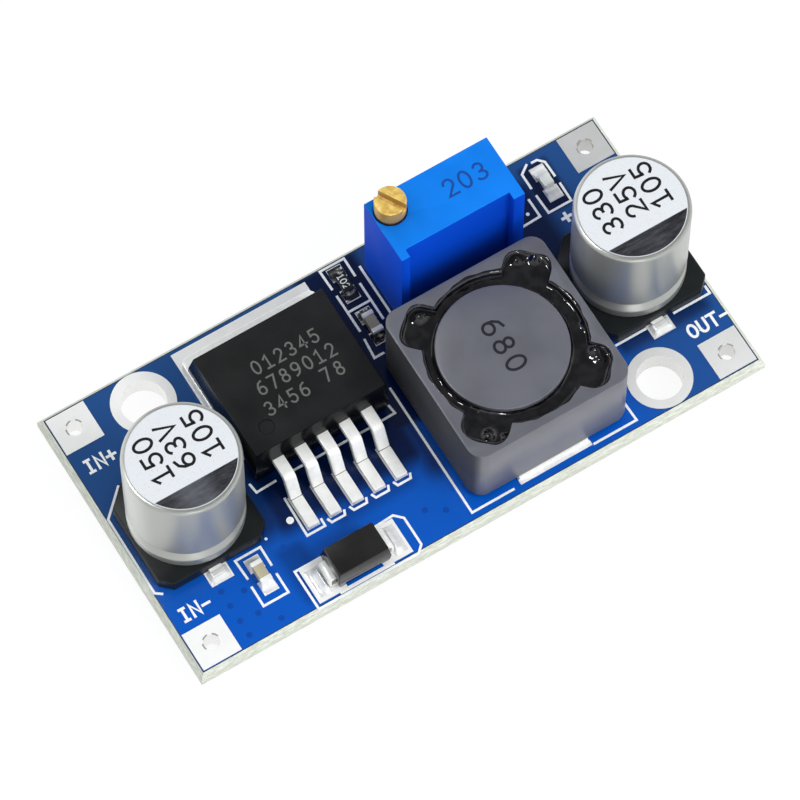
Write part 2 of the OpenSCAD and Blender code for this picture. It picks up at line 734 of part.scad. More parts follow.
module led_base() { color("#e6e6dc") chip_core(led_x, led_y, led_slip_h); }
module led_terminals() { color("gainsboro") chip_caps(led_x, led_y, led_slip_h); }

// Moulded lens with sloping ends
module led_lens() {
    z0 = seat + led_slip_h - chip_skin;
    z1 = top + led_h;
    l = chip_len / 2 - chip_cap;
    color("#f0efe0") translate([led_x, led_y, 0]) along_x(chip_wid - 2 * chip_skin)
        polygon([[-l, z0], [l, z0], [l - 0.08, z1], [-l + 0.08, z1]]);
}

pcb();
corner_pads();
mount_pads();
smd_pads();
input_cap_can();
input_cap_base();
input_cap_lead_a();
input_cap_lead_b();
output_cap_can();
output_cap_base();
output_cap_lead_a();
output_cap_lead_b();
regulator_body();
regulator_tab();
regulator_lead_1();
regulator_lead_2();
regulator_lead_3();
regulator_lead_4();
regulator_lead_5();
inductor_shield();
inductor_drum();
inductor_winding();
inductor_resin();
inductor_terminal_a();
inductor_terminal_b();
trimmer_housing();
trimmer_base();
trimmer_screw();
trimmer_o_ring();
trimmer_pin_1();
trimmer_pin_2();
trimmer_pin_3();
trimmer_solder();
diode_body();
diode_lead_anode();
diode_lead_cathode();
led_base();
led_lens();
led_terminals();
resistor_body();
resistor_terminals();
bypass_cap_body();
bypass_cap_terminals();
feedback_cap_body();
feedback_cap_terminals();
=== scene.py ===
"""Looks of a small step-down converter module: board, lands, printed legend, cans, packages and trimmer."""
import json
from math import cos, exp, hypot, pi, radians, sin

import bmesh
import bpy
from mathutils import Matrix, Vector

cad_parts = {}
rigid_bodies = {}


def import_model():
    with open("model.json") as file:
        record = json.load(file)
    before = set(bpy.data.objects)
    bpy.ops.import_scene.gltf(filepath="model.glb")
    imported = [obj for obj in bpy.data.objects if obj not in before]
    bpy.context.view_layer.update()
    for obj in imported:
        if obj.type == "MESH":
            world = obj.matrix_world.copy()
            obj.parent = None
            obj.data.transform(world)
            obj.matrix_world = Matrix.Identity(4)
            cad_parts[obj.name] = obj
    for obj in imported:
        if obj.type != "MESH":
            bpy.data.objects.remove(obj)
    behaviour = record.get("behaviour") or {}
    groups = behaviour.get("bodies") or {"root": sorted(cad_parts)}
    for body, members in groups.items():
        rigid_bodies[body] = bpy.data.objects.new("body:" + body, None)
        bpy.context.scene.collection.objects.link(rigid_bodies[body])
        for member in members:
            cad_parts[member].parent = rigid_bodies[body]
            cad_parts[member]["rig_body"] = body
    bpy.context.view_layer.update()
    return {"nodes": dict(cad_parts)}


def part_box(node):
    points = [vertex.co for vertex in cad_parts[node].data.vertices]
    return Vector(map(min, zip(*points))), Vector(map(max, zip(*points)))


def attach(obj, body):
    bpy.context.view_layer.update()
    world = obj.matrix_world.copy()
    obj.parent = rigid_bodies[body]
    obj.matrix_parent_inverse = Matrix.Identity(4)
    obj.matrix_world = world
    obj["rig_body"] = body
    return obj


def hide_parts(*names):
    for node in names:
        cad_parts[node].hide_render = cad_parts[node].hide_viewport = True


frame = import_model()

MM = 0.001
FILL = 0.92             # strength of the sky as a fill light
CEILING = 0.18          # strength of the top of the sky in what shines
COPPER = 0.05           # thickness of the lands, mm
SUNK = 0.01             # how deep a printed line starts below the face that it lies on, mm
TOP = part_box("corner_pads")[1].z / MM - COPPER          # height of the board's upper face, mm
WIRE_PAD = 2.9          # side of the square corner pads, mm


def middle(node):
    """Centre of a node's box, in mm."""
    low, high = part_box(node)
    return (low + high) / 2 / MM


def front(node):
    """Middle of the front edge of a node's box, in mm."""
    return Vector((middle(node).x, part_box(node)[0].y / MM))


def block(node):
    """A node's box seen from above: x0, x1, y0, y1 in mm."""
    low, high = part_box(node)
    return low.x / MM, high.x / MM, low.y / MM, high.y / MM


def roof(node):
    """Height of a node's top, in mm."""
    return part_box(node)[1].z / MM


# where each part stands; what is printed or painted round a part is placed from here
SPOTS = {
    "input_cap": middle("input_cap_base"), "output_cap": middle("output_cap_base"),
    "regulator": front("regulator_body"), "inductor": middle("inductor_shield"),
    "trimmer": middle("trimmer_housing"), "diode": middle("diode_body"), "indicator": middle("led_base"),
    "resistor": middle("resistor_body"), "bypass_cap": middle("bypass_cap_body"),
    "feedback_cap": middle("feedback_cap_body"),
}
# middle of the back right corner pad; the others mirror it
PAD_X, PAD_Y = (edge / MM - WIRE_PAD / 2 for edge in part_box("corner_pads")[1].xy)


# ---------------------------------------------------------------- shader sums

class Wire:
    """A socket that takes part in Python sums."""

    def __init__(self, finish, socket):
        self.finish, self.socket = finish, socket

    def _sum(self, operation, *terms):
        return self.finish.node("ShaderNodeMath", {"operation": operation}, dict(enumerate(terms)))

    def __add__(self, other): return self._sum("ADD", self, other)
    def __radd__(self, other): return self._sum("ADD", other, self)
    def __sub__(self, other): return self._sum("SUBTRACT", self, other)
    def __rsub__(self, other): return self._sum("SUBTRACT", other, self)
    def __mul__(self, other): return self._sum("MULTIPLY", self, other)
    def __rmul__(self, other): return self._sum("MULTIPLY", other, self)
    def __neg__(self): return self._sum("MULTIPLY", self, -1.0)
    def __abs__(self): return self._sum("ABSOLUTE", self)

    def least(self, other): return self._sum("MINIMUM", self, other)
    def most(self, other): return self._sum("MAXIMUM", self, other)
    def root(self): return self._sum("SQRT", self)
    def sine(self): return self._sum("SINE", self)

    def ramp(self, low, high):
        """Smooth step from 0 to 1 as this value goes from low to high."""
        return self.finish.node("ShaderNodeMapRange", {"interpolation_type": "SMOOTHSTEP"},
                                {"Value": self, "From Min": low, "From Max": high})


class Finish:
    """One material, built round a Principled shader."""

    def __init__(self, name, **fixed):
        self.material = bpy.data.materials.new(name)
        self.material.use_nodes = True
        self.tree = self.material.node_tree
        self.tree.nodes.clear()
        self.shader = self.tree.nodes.new("ShaderNodeBsdfPrincipled")
        self.out = self.tree.nodes.new("ShaderNodeOutputMaterial")
        self.tree.links.new(self.shader.outputs[0], self.out.inputs[0])
        for key, value in fixed.items():
            self.shader.inputs[key.replace("_", " ")].default_value = value

    def node(self, kind, settings=None, inputs=None, out=0):
        """A node of any type: its settings first, then values or links for its sockets."""
        made = self.tree.nodes.new(kind)
        for key, value in (settings or {}).items():
            setattr(made, key, value)
        for key, value in (inputs or {}).items():
            self.feed(made.inputs[key], value)
        return Wire(self, made.outputs[out])

    def feed(self, socket, value):
        """Links a wire to a socket, or sets a plain value on it."""
        if isinstance(value, Wire):
            self.tree.links.new(value.socket, socket)
        elif isinstance(value, (tuple, list)) and len(value) == 3 and socket.type == "RGBA":
            socket.default_value = (*value, 1.0)
        else:
            socket.default_value = value

    def set(self, **feeds):
        """Feeds the shader's own sockets, with underscores for the spaces in their names."""
        for key, value in feeds.items():
            self.feed(self.shader.inputs[key.replace("_", " ")], value)
        return self

    def place(self):
        """Where a point of the piece is, in mm."""
        where = self.node("ShaderNodeTexCoord", out=3)
        return self.node("ShaderNodeVectorMath", {"operation": "SCALE"}, {0: where, "Scale": 1 / MM})

    def axes(self, vector=None):
        """The x, y and z of a vector, or of the point's place."""
        made = self.tree.nodes.new("ShaderNodeSeparateXYZ")
        self.feed(made.inputs[0], vector or self.place())
        return [Wire(self, s) for s in made.outputs]

    def facing(self):
        """The x, y and z of the way that a face looks."""
        return self.axes(self.node("ShaderNodeNewGeometry", out=1))

    def up(self):
        """How far a face looks up: 1 on top faces, -1 underneath."""
        return self.facing()[2]

    def noise(self, size, detail=2.0, rough=0.5, stretch=(1, 1, 1), seed=0.0):
        """Cloudy pattern of about 0 to 1, whose lumps are size mm across."""
        at = self.node("ShaderNodeMapping", {}, {"Vector": self.place(), "Scale": [s / size for s in stretch],
                                                 "Location": (seed, seed * 1.7, seed * 0.6)})
        return self.node("ShaderNodeTexNoise", {"noise_dimensions": "3D"},
                         {"Vector": at, "Scale": 1.0, "Detail": detail, "Roughness": rough})

    def cells(self, size, seed=0.0):
        """Distance from the middles of scattered cells, size mm apart."""
        at = self.node("ShaderNodeMapping", {}, {"Vector": self.place(), "Scale": [1 / size] * 3,
                                                 "Location": (seed, seed, seed)})
        return self.node("ShaderNodeTexVoronoi", {"feature": "F1"}, {"Vector": at, "Scale": 1.0})

    def mix(self, share, first, second):
        """A colour that goes from first to second as share goes from 0 to 1."""
        made = self.tree.nodes.new("ShaderNodeMix")
        made.data_type = "RGBA"
        self.feed(made.inputs[0], share)
        self.feed(made.inputs[6], first)
        self.feed(made.inputs[7], second)
        return Wire(self, made.outputs[2])

    def bump(self, height, depth):
        """Relief: height runs 0 to 1, depth is in mm."""
        self.set(Normal=self.node("ShaderNodeBump", {}, {"Strength": 1.0, "Distance": depth * MM, "Height": height}))
        return self


# ---------------------------------------------------------------- finishes

# stretches of board where painted shade darkens the mask to navy:
# the part they lie at, then x0, x1, y0, y1 from its spot, soft edge, depth
PAINTED_SHADE_ZONES = (
    ("regulator", -5.7, 5.8, -4.1, 1.9, 0.9, 0.90),             # round its leads
    ("feedback_cap", -2.96, 1.74, -7.65, 5.55, 0.5, 0.93),      # between the regulator and the shield
    ("inductor", -7.6, -6.2, -3.1, 3.4, 0.8, 0.75),             # left of the shield
    ("inductor", -4.1, 8.0, 5.8, 9.0, 0.6, 0.90),               # behind the shield
    ("inductor", 5.9, 9.4, 0.0, 12.4, 0.8, 0.85),               # between the shield and the output capacitor
    ("indicator", -1.25, 0.95, -2.13, 1.77, 0.3, 0.90),
    ("input_cap", 1.95, 5.95, -4.15, 1.65, 0.9, 0.70),          # right of the can
    ("diode", -4.32, -2.32, -1.05, 3.35, 0.5, 0.42),            # left of its land
    ("regulator", -1.9, 4.1, -5.4, -3.9, 0.6, 0.42),            # in front of its leads
    ("output_cap", -3.5, 3.5, -5.15, -3.55, 0.5, 0.70),         # in front of the base
)


def mask_finish():
    """Glossy blue mask on both faces with painted light and shade on it, raw laminate on the snapped edges."""
    f = Finish("board_mask", Specular_IOR_Level=0.30)
    face = abs(f.up()).ramp(0.72, 0.9)
    cloud = f.noise(14.0, 1.0, seed=3.0)
    grain = f.noise(0.35, 3.0, 0.6)
    x, y, _ = f.axes()
    # painted light and shade: the mask is bright in front, duller at the back and the output end
    front_light_gradient = (x * 0.20 - y + cloud * 3.0).ramp(-2.5, 5.0) * (1 - (x - 11.0).ramp(0.0, 6.0) * 0.8)
    blue = f.mix(front_light_gradient, (0.0150, 0.072, 0.24), (0.0004, 0.090, 0.50))
    # painted shade: the mask goes navy in the stretches listed above
    painted_shade = 0.0
    for part, x0, x1, y0, y1, soft, share in PAINTED_SHADE_ZONES:
        at = SPOTS[part]
        across = (x - (at.x + x0)).ramp(-soft, soft) * ((at.x + x1) - x).ramp(-soft, soft)
        along = (y - (at.y + y0)).ramp(-soft, soft) * ((at.y + y1) - y).ramp(-soft, soft)
        painted_shade = (across * along * share).most(painted_shade)
    blue = f.mix(painted_shade, blue, (0.0004, 0.0035, 0.030))
    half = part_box("pcb")[1] / MM
    rim = (abs(x) - half.x).most(abs(y) - half.y)
    rim_line, rim_soft = 0.42, 0.06             # where the dark line at the snapped edge starts, mm
    blue = f.mix((rim + rim_line).ramp(0.0, rim_soft), blue, (0.030, 0.045, 0.065))
    weave = f.noise(0.22, 2.0, 0.7, (0.35, 0.35, 2.4), 5.0)
    raw = f.mix(weave.ramp(0.35, 0.7), (0.52, 0.54, 0.46), (0.72, 0.73, 0.66))
    f.set(Base_Color=f.mix(face, raw, blue), Roughness=face * (grain * 0.10 + 0.10) + (1 - face) * 0.75)
    return f.bump(face * grain * 0.12 + (1 - face) * weave, 0.03).material


def tin_finish(name, tint, rough, size=0.6, metal=0.45, shade=0.86, barrel=None):
    """Tinned copper: bright, slightly lumpy and cloudy; barrel is how metallic the walls of its holes are, and with
    it the tone also gets painted shade towards the back right.
    """
    f = Finish(name)
    cloud = f.noise(size, 3.0, 0.55)
    lump = f.noise(size * 2.4, 1.0, seed=2.0)
    tone = f.mix(cloud.ramp(0.3, 0.7), tuple(c * shade for c in tint), tint)
    if barrel is not None:
        wall = 1 - abs(f.up()).ramp(0.3, 0.7)
        metal, rough = wall * (barrel - metal) + metal, rough - wall * (rough - 0.2)
        x, y, _ = f.axes()
        # painted shade: the pads darken towards the back right
        shade_to_back_right = ((x + y) * 0.5).ramp(-8.0, 20.0)
        tone = f.mix(shade_to_back_right * 0.48, tone, (0.03, 0.03, 0.02))
    f.set(Base_Color=tone, Metallic=metal, Roughness=cloud * 0.16 + rough)
    return f.bump(lump * 0.7 + cloud * 0.3, 0.02).material


def can_finish(name, node, glow=0.6):
    """Drawn can: satin wall with painted shade on one side, pale speckled print on top, and a dark segment with a
    painted brushed sheen and a painted highlight across its middle, as strong as glow says.
    """
    x0, x1, y0, y1 = block(node)
    r = (x1 - x0) / 2
    edge, snip, soft = 0.34, -1.9, 0.03         # rim of bare metal, front limit of the pale print, soft line, mm
    f = Finish(name, Specular_IOR_Level=0.5)
    x, y, _ = f.axes()
    dx, dy = x - (x0 + x1) / 2, y - (y0 + y1) / 2
    reach = (dx * dx + dy * dy).root()
    top = f.up().ramp(0.9, 0.98)
    printed = top * (1 - reach.ramp(r - edge, r - edge + 2 * soft))
    segment = printed * (1 - dy.ramp(snip - soft, snip + soft)) * (1 - reach.ramp(r - edge - 0.04, r - edge))
    speck = f.cells(0.15, seed=4.0).ramp(0.08, 0.26)
    fine = f.noise(0.12, 2.0, 0.6)
    streak = f.noise(1.6, 2.0, 0.5, (1, 1, 0.03), 1.0)
    wall = f.mix(streak.ramp(0.3, 0.7), (0.60, 0.61, 0.585), (0.68, 0.69, 0.66))
    # painted shade: the wall is paler on its side towards the input end, darker away from it
    turned = (dx * 0.85 - dy * 0.52).ramp(-0.95 * r, -0.45 * r)
    wall = f.mix(turned, wall, (0.40, 0.41, 0.385))
    pale = f.mix(speck * 0.7 + 0.3, (0.50, 0.51, 0.56), (0.74, 0.76, 0.79))
    # painted highlight: a brushed sheen over the dark segment and a bright band across its middle, as strong as glow
    sheen = f.noise(0.5, 4.0, 0.7, (0.5, 2.2, 1), 7.0)
    painted_highlight = sheen.ramp(0.30, 0.85) * 0.55 + (1 - abs(dx + 0.5).ramp(0.3, 2.0)) * glow
    dark = f.mix(painted_highlight.least(1.0), (0.010, 0.010, 0.013), (0.130, 0.135, 0.160))
    f.set(Base_Color=f.mix(segment, f.mix(printed, wall, pale), dark),
          Metallic=(1 - printed) * 0.62 + printed * (1 - segment) * 0.10 + segment * 0.3,
          Roughness=(1 - printed) * (0.30 + streak * 0.06) + printed * 0.45)
    return f.bump(printed * fine, 0.006).material


def moulding_finish(name, base, lift, rough, grain=0.09, relief=0.012, level=0.5, sides=None, dim=1.0):
    """Moulded plastic or fired ceramic with a fine grain.

    Drafted faces may have a roughness of their own (sides), and painted shade that makes them darker than the top
    (dim).
    """
    f = Finish(name, Specular_IOR_Level=level)
    fine = f.noise(grain, 3.0, 0.6)
    cloud = f.noise(2.6, 2.0, seed=6.0)
    tone = cloud * 0.6 + fine * 0.4
    top = f.up().ramp(0.8, 0.97)
    own = fine * 0.14 + rough
    if sides is not None:
        own = top * own + (1 - top) * sides
        fine = fine * (top * 0.9 + 0.1)
    colour = f.mix(tone.ramp(0.3, 0.7), base, lift)
    # painted shade: faces other than the top are darker
    if dim < 1:
        colour = f.mix(top, tuple(c * dim for c in base), colour)
    f.set(Base_Color=colour, Roughness=own)
    return f.bump(fine, relief).material


def ferrite_finish():
    """Ground ferrite, grey and pitted, with painted shade on the faces that look towards the input."""
    f = Finish("ferrite", Specular_IOR_Level=0.85)
    fine = f.noise(0.10, 4.0, 0.65)
    cloud = f.noise(3.0, 2.0, seed=2.0)
    pit = f.cells(0.35, seed=9.0).ramp(0.03, 0.14)
    tone = f.mix(cloud.ramp(0.3, 0.7), (0.098, 0.100, 0.122), (0.122, 0.124, 0.150))
    shade_inward = (-f.facing()[0]).ramp(0.5, 0.9)
    # painted shade on the faces that look towards the input
    tone = f.mix(shade_inward * 0.93, tone, (0.002, 0.003, 0.010))
    f.set(Base_Color=f.mix((1 - pit) * 0.25, tone, (0.04, 0.04, 0.05)), Roughness=fine * 0.2 + 0.28 + shade_inward * 0.25)
    return f.bump(fine * 0.7 + pit * 0.3, 0.012).material


def brass_finish():
    """Turned brass: fine rings round the screw's axis, a warm, uneven tarnish, and painted shade on the head's side,
    darkest at its foot.
    """
    c = middle("trimmer_screw")
    f = Finish("screw_brass")
    x, y, z = f.axes()
    dx, dy = x - c.x, y - c.y
    ring_pitch = 0.06614                        # spacing of the turning marks, mm
    rings = ((dx * dx + dy * dy).root() * (2 * pi / ring_pitch)).sine() * 0.5 + 0.5
    cloud = f.noise(0.5, 3.0, 0.6)
    face = f.up().ramp(0.3, 0.8)
    warm = f.mix(cloud.ramp(0.3, 0.7), (0.66, 0.40, 0.075), (0.95, 0.68, 0.20))
    # painted shade: the head's side is darker than its top and nearly black at its foot
    foot = (z - roof("trimmer_housing")).ramp(0.05, 0.4)
    side = f.mix(foot, (0.05, 0.022, 0.006), (0.52, 0.32, 0.08))
    f.set(Base_Color=f.mix(face, side, warm), Metallic=0.25, Roughness=cloud * 0.15 + 0.3)
    return f.bump(rings * f.up().ramp(0.8, 0.95) * 0.6 + cloud * 0.4, 0.008).material


def trimmer_finish():
    """Blue moulded housing, glossy on its lid and dull on its sides, which painted shade makes a deeper, darker
    blue.
    """
    f = Finish("trimmer_blue", Specular_IOR_Level=0.06)
    cloud = f.noise(3.5, 2.0, seed=1.0)
    fine = f.noise(0.14, 2.0, 0.6)
    top = f.mix(cloud.ramp(0.3, 0.7), (0.006, 0.175, 0.70), (0.008, 0.200, 0.78))
    lid = f.up().ramp(0.6, 0.95)
    # painted shade: the sides are a darker blue than the lid
    f.set(Base_Color=f.mix(lid, (0.0012, 0.066, 0.62), top), Roughness=fine * 0.05 + 0.60 - lid * 0.52)
    return f.bump(fine, 0.002).material


def print_finish(name, tint, rough=0.45):
    """A thin opaque coat with a faint unevenness: screen or pad print, and the painted shade in the leads' bends."""
    f = Finish(name, Specular_IOR_Level=0.3)
    fine = f.noise(0.15, 3.0, 0.6)
    faint = tuple(c * 0.86 for c in tint)
    f.set(Base_Color=f.mix(fine.ramp(0.3, 0.7), faint, tint), Roughness=fine * 0.1 + rough)
    return f.bump(fine, 0.004).material


def resin_finish():
    """Black potting resin, wet and lumpy."""
    f = Finish("potting_resin", Specular_IOR_Level=0.7)
    lump = f.noise(0.7, 2.0, 0.5)
    f.set(Base_Color=f.mix(lump.ramp(0.3, 0.7), (0.002, 0.002, 0.003), (0.012, 0.012, 0.015)),
          Roughness=lump * 0.05 + 0.04)
    return f.bump(lump, 0.05).material


def chip_solder_finish():
    """Reflowed solder round the small chips: painted dark for the dark parts it mirrors, with painted bright glints
    in patches.
    """
    f = Finish("chip_solder")
    painted_glint = f.noise(0.45, 2.0, 0.6, seed=8.0).ramp(0.52, 0.66)
    # painted reflection: dark where it mirrors the dark parts round it, with painted glints
    f.set(Base_Color=f.mix(painted_glint, (0.030, 0.034, 0.040), (0.72, 0.72, 0.70)), Metallic=0.6,
          Roughness=painted_glint * 0.1 + 0.18)
    return f.bump(f.noise(0.4, 2.0), 0.06).material


def lens_finish():
    """Clear cast lens over the indicator's die."""
    f = Finish("led_lens", Transmission_Weight=0.15, IOR=1.5)
    lump = f.noise(0.4, 2.0)
    f.set(Base_Color=f.mix(lump.ramp(0.3, 0.7), (0.84, 0.88, 0.78), (0.97, 0.99, 0.93)), Roughness=lump * 0.1 + 0.12)
    return f.bump(lump, 0.01).material


FINISHES = {
    "mask": mask_finish(),
    "pad_tin": tin_finish("pad_tin", (0.90, 0.895, 0.88), 0.42, 1.2, 0.04, 0.97, 0.9),
    "lead_tin": tin_finish("lead_tin", (0.99, 0.99, 0.96), 0.26, 0.6, 0.15, 0.92),
    "solder": tin_finish("solder", (0.98, 0.98, 0.97), 0.14, 0.5, 0.3),
    "chip_solder": chip_solder_finish(),
    "can_in": can_finish("can_input", "input_cap_can"),
    "can_out": can_finish("can_output", "output_cap_can", 0.15),
    "base": moulding_finish("cap_base_plastic", (0.006, 0.008, 0.009), (0.010, 0.013, 0.014), 0.36, level=0.24),
    # the last value darkens the package's sides as painted shade
    "package": moulding_finish("package_epoxy", (0.0085, 0.0088, 0.0092), (0.0155, 0.0158, 0.0165), 0.42, 0.10,
                               0.012, 0.14, 0.24, 0.30),
    "diode": moulding_finish("diode_epoxy", (0.006, 0.0055, 0.0055), (0.018, 0.016, 0.016), 0.30, 0.10, 0.010,
                             0.4, 0.12),
    "ferrite": ferrite_finish(),
    "resin": resin_finish(),
    "wire": tin_finish("winding_wire", (0.62, 0.30, 0.12), 0.2, 0.4),
    "trimmer": trimmer_finish(),
    "potting": moulding_finish("potting", (0.62, 0.60, 0.52), (0.75, 0.73, 0.66), 0.5),
    "brass": brass_finish(),
    "rubber": moulding_finish("seal_rubber", (0.012, 0.012, 0.012), (0.02, 0.02, 0.02), 0.5),
    "slip": moulding_finish("led_slip", (0.66, 0.66, 0.56), (0.80, 0.80, 0.72), 0.4),
    "lens": lens_finish(),
    "resistor": moulding_finish("resistor_coat", (0.010, 0.011, 0.013), (0.020, 0.021, 0.024), 0.22, level=0.3),
    "tan": moulding_finish("ceramic_tan", (0.42, 0.37, 0.24), (0.56, 0.51, 0.36), 0.32),
    "grey_tan": moulding_finish("ceramic_grey_tan", (0.24, 0.22, 0.16), (0.36, 0.335, 0.26), 0.34),
    "ink": print_finish("legend_ink", (0.96, 0.98, 0.99)),
    "black_ink": print_finish("can_ink", (0.010, 0.010, 0.012), 0.35),
    "grey_ink": print_finish("package_marking", (0.135, 0.135, 0.125), 0.5),
    "dark_ink": print_finish("ferrite_marking", (0.016, 0.016, 0.024), 0.5),
    "blue_ink": print_finish("trimmer_marking", (0.003, 0.060, 0.33), 0.3),
    "rim_arc": print_finish("hole_rim_arc", (0.34, 0.34, 0.32), 0.3),
    # painted shade for the bends of the regulator leads
    "crease": print_finish("lead_crease", (0.045, 0.045, 0.03), 0.4),
    "via": print_finish("tented_via", (0.0006, 0.066, 0.385), 0.15),
}

WEARS = {
    "pcb": "mask", "corner_pads": "pad_tin", "mount_pads": "pad_tin", "smd_pads": "pad_tin",
    "input_cap_can": "can_in", "output_cap_can": "can_out", "input_cap_base": "base", "output_cap_base": "base",
    "regulator_body": "package", "regulator_tab": "lead_tin",
    "inductor_shield": "ferrite", "inductor_drum": "ferrite", "inductor_winding": "wire", "inductor_resin": "resin",
    "trimmer_housing": "trimmer", "trimmer_base": "potting", "trimmer_screw": "brass", "trimmer_o_ring": "rubber",
    "trimmer_solder": "solder", "diode_body": "diode",
    "led_base": "slip", "led_lens": "lens", "resistor_body": "resistor",
    "bypass_cap_body": "tan", "feedback_cap_body": "grey_tan",
    "feedback_cap_terminals": "solder", "resistor_terminals": "chip_solder",
}
for name, node in frame["nodes"].items():
    node.data.materials.clear()
    node.data.materials.append(FINISHES[WEARS.get(name, "lead_tin")])


# ---------------------------------------------------------------- pieces

def keep(name, mesh, finish, body="board"):
    """Makes a piece of a mesh, gives it its finish and sets it on its body."""
    piece = bpy.data.objects.new(name, mesh)
    bpy.context.scene.collection.objects.link(piece)
    mesh.materials.clear()
    mesh.materials.append(FINISHES[finish])
    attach(piece, body)
    return piece


def settle(piece):
    """Applies a piece's modifiers."""
    graph = bpy.context.evaluated_depsgraph_get()
    mesh = bpy.data.meshes.new_from_object(piece.evaluated_get(graph))
    piece.modifiers.clear()
    piece.data = mesh


def eased(node, radius):
    """A copy of a solid with its moulded or stamped edges eased, which stands for it."""
    crease = radians(28)                        # an edge sharper than this is eased
    flat = radians(0.6)                         # faces closer than this are one
    source = frame["nodes"][node]
    bm = bmesh.new()
    bm.from_mesh(source.data)
    bmesh.ops.remove_doubles(bm, verts=bm.verts, dist=1e-7)
    bmesh.ops.dissolve_limit(bm, angle_limit=flat, verts=bm.verts, edges=bm.edges)
    mesh = bpy.data.meshes.new(node + "_eased")
    bm.to_mesh(mesh)
    bm.free()
    mesh.shade_smooth()
    piece = keep(node + "_eased", mesh, WEARS.get(node, "lead_tin"), source["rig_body"])
    soften = piece.modifiers.new("soften", "BEVEL")
    soften.width, soften.segments, soften.limit_method = radius * MM, 2, "ANGLE"
    soften.angle_limit, soften.harden_normals, soften.use_clamp_overlap = crease, True, True
    settle(piece)
    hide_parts(node)


def ribbon(bm, path, width, low, high, closed=False):
    """A flat printed line of even width along a path, from height low to high, all in mm."""
    n = len(path)
    pts = [Vector(p) for p in path]
    rails = []
    for i, p in enumerate(pts):
        a = pts[i - 1] if i or closed else None
        b = pts[(i + 1) % n] if i < n - 1 or closed else None
        u = (p - a).normalized() if a is not None else (b - p).normalized()
        v = (b - p).normalized() if b is not None else u
        m = (u + v).normalized() if (u + v).length > 1e-6 else u
        side = Vector((-m.y, m.x)) * (width / 2 / max(0.5, m.dot(u)))
        shift = u * (-width * 0.5 if a is None else 0) + v * (width * 0.5 if b is None else 0)
        rails.append((p + side + shift, p - side + shift))
    rows = [[bm.verts.new((q.x * MM, q.y * MM, z * MM)) for q in r for z in (low, high)] for r in rails]
    spans = range(n if closed else n - 1)
    for i in spans:
        a, b = rows[i], rows[(i + 1) % n]
        for k in ((0, 1), (1, 3), (3, 2), (2, 0)):
            bm.faces.new((a[k[0]], a[k[1]], b[k[1]], b[k[0]]))
    if not closed:
        bm.faces.new((rows[0][0], rows[0][2], rows[0][3], rows[0][1]))
        bm.faces.new((rows[-1][0], rows[-1][1], rows[-1][3], rows[-1][2]))


def disc(bm, x, y, r, low, high, sides=20):
    """A round printed dot, from height low to high, all in mm."""
    rim = [(x + r * cos(2 * pi * i / sides), y + r * sin(2 * pi * i / sides)) for i in range(sides)]
    rings = [[bm.verts.new((px * MM, py * MM, z * MM)) for px, py in rim] for z in (low, high)]
    bm.faces.new(rings[1])
    bm.faces.new(rings[0][::-1])
    for i in range(sides):
        j = (i + 1) % sides
        bm.faces.new((rings[0][i], rings[0][j], rings[1][j], rings[1][i]))


def skinned(bm, rows, closed=False):
    """Faces between rows of points; closed joins the last row to the first."""
    for i in range(len(rows) if closed else len(rows) - 1):
        here, there = rows[i], rows[(i + 1) % len(rows)]
        for j in range(len(here) - 1):
            bm.faces.new((here[j], here[j + 1], there[j + 1], there[j]))


def finished(bm, name, finish, smooth=False):
    """Turns what was drawn into a piece on the board."""
    bmesh.ops.recalc_face_normals(bm, faces=bm.faces)
    mesh = bpy.data.meshes.new(name)
    bm.to_mesh(mesh)
    bm.free()
    if smooth:
        mesh.shade_smooth()
    return keep(name, mesh, finish)


def arc(cx, cy, rx, ry, start, stop, steps=14):
    """Points of an arc in a letter, by degrees."""
    return [(cx + rx * cos(radians(start + (stop - start) * i / steps)),
             cy + ry * sin(radians(start + (stop - start) * i / steps))) for i in range(steps + 1)]


# Plain single-stroke characters, one high and about two thirds wide
STROKES = {
    "0": [arc(.33, .5, .28, .45, 0, 360, 24)],
    "1": [[(.10, .76), (.35, .95), (.35, .05)], [(.10, .05), (.60, .05)]],
    "2": [arc(.33, .69, .26, .26, 165, -35) + [(.07, .05), (.62, .05)]],
    "3": [arc(.32, .72, .24, .23, 150, -90), arc(.32, .27, .28, .22, 90, -150)],
    "4": [[(.46, .05), (.46, .95), (.05, .32), (.63, .32)]],
    "5": [[(.57, .95), (.15, .95), (.11, .56)] + arc(.31, .33, .28, .28, 125, -150)],
    "6": [arc(.33, .31, .27, .26, 0, 360, 20), [(.06, .33), (.10, .62), (.26, .86), (.50, .95)]],
    "7": [[(.07, .95), (.60, .95), (.27, .05)]],
    "8": [arc(.33, .73, .22, .21, 0, 360, 20), arc(.33, .28, .27, .24, 0, 360, 20)],
    "9": [arc(.33, .69, .27, .26, 0, 360, 20), [(.60, .67), (.56, .38), (.40, .14), (.16, .05)]],
    "V": [[(.03, .95), (.33, .05), (.63, .95)]],
    "I": [[(.33, .95), (.33, .05)], [(.16, .95), (.50, .95)], [(.16, .05), (.50, .05)]],
    "N": [[(.06, .05), (.06, .95), (.60, .05), (.60, .95)]],
    "O": [arc(.33, .5, .29, .45, 0, 360, 24)],
    "U": [[(.06, .95), (.06, .33)] + arc(.33, .33, .27, .28, 180, 360) + [(.60, .95)]],
    "T": [[(.33, .05), (.33, .95)], [(.02, .95), (.64, .95)]],
    "+": [[(.33, .18), (.33, .78)], [(.03, .48), (.63, .48)]],
    "-": [[(.06, .46), (.56, .46)]],
    " ": [],
}


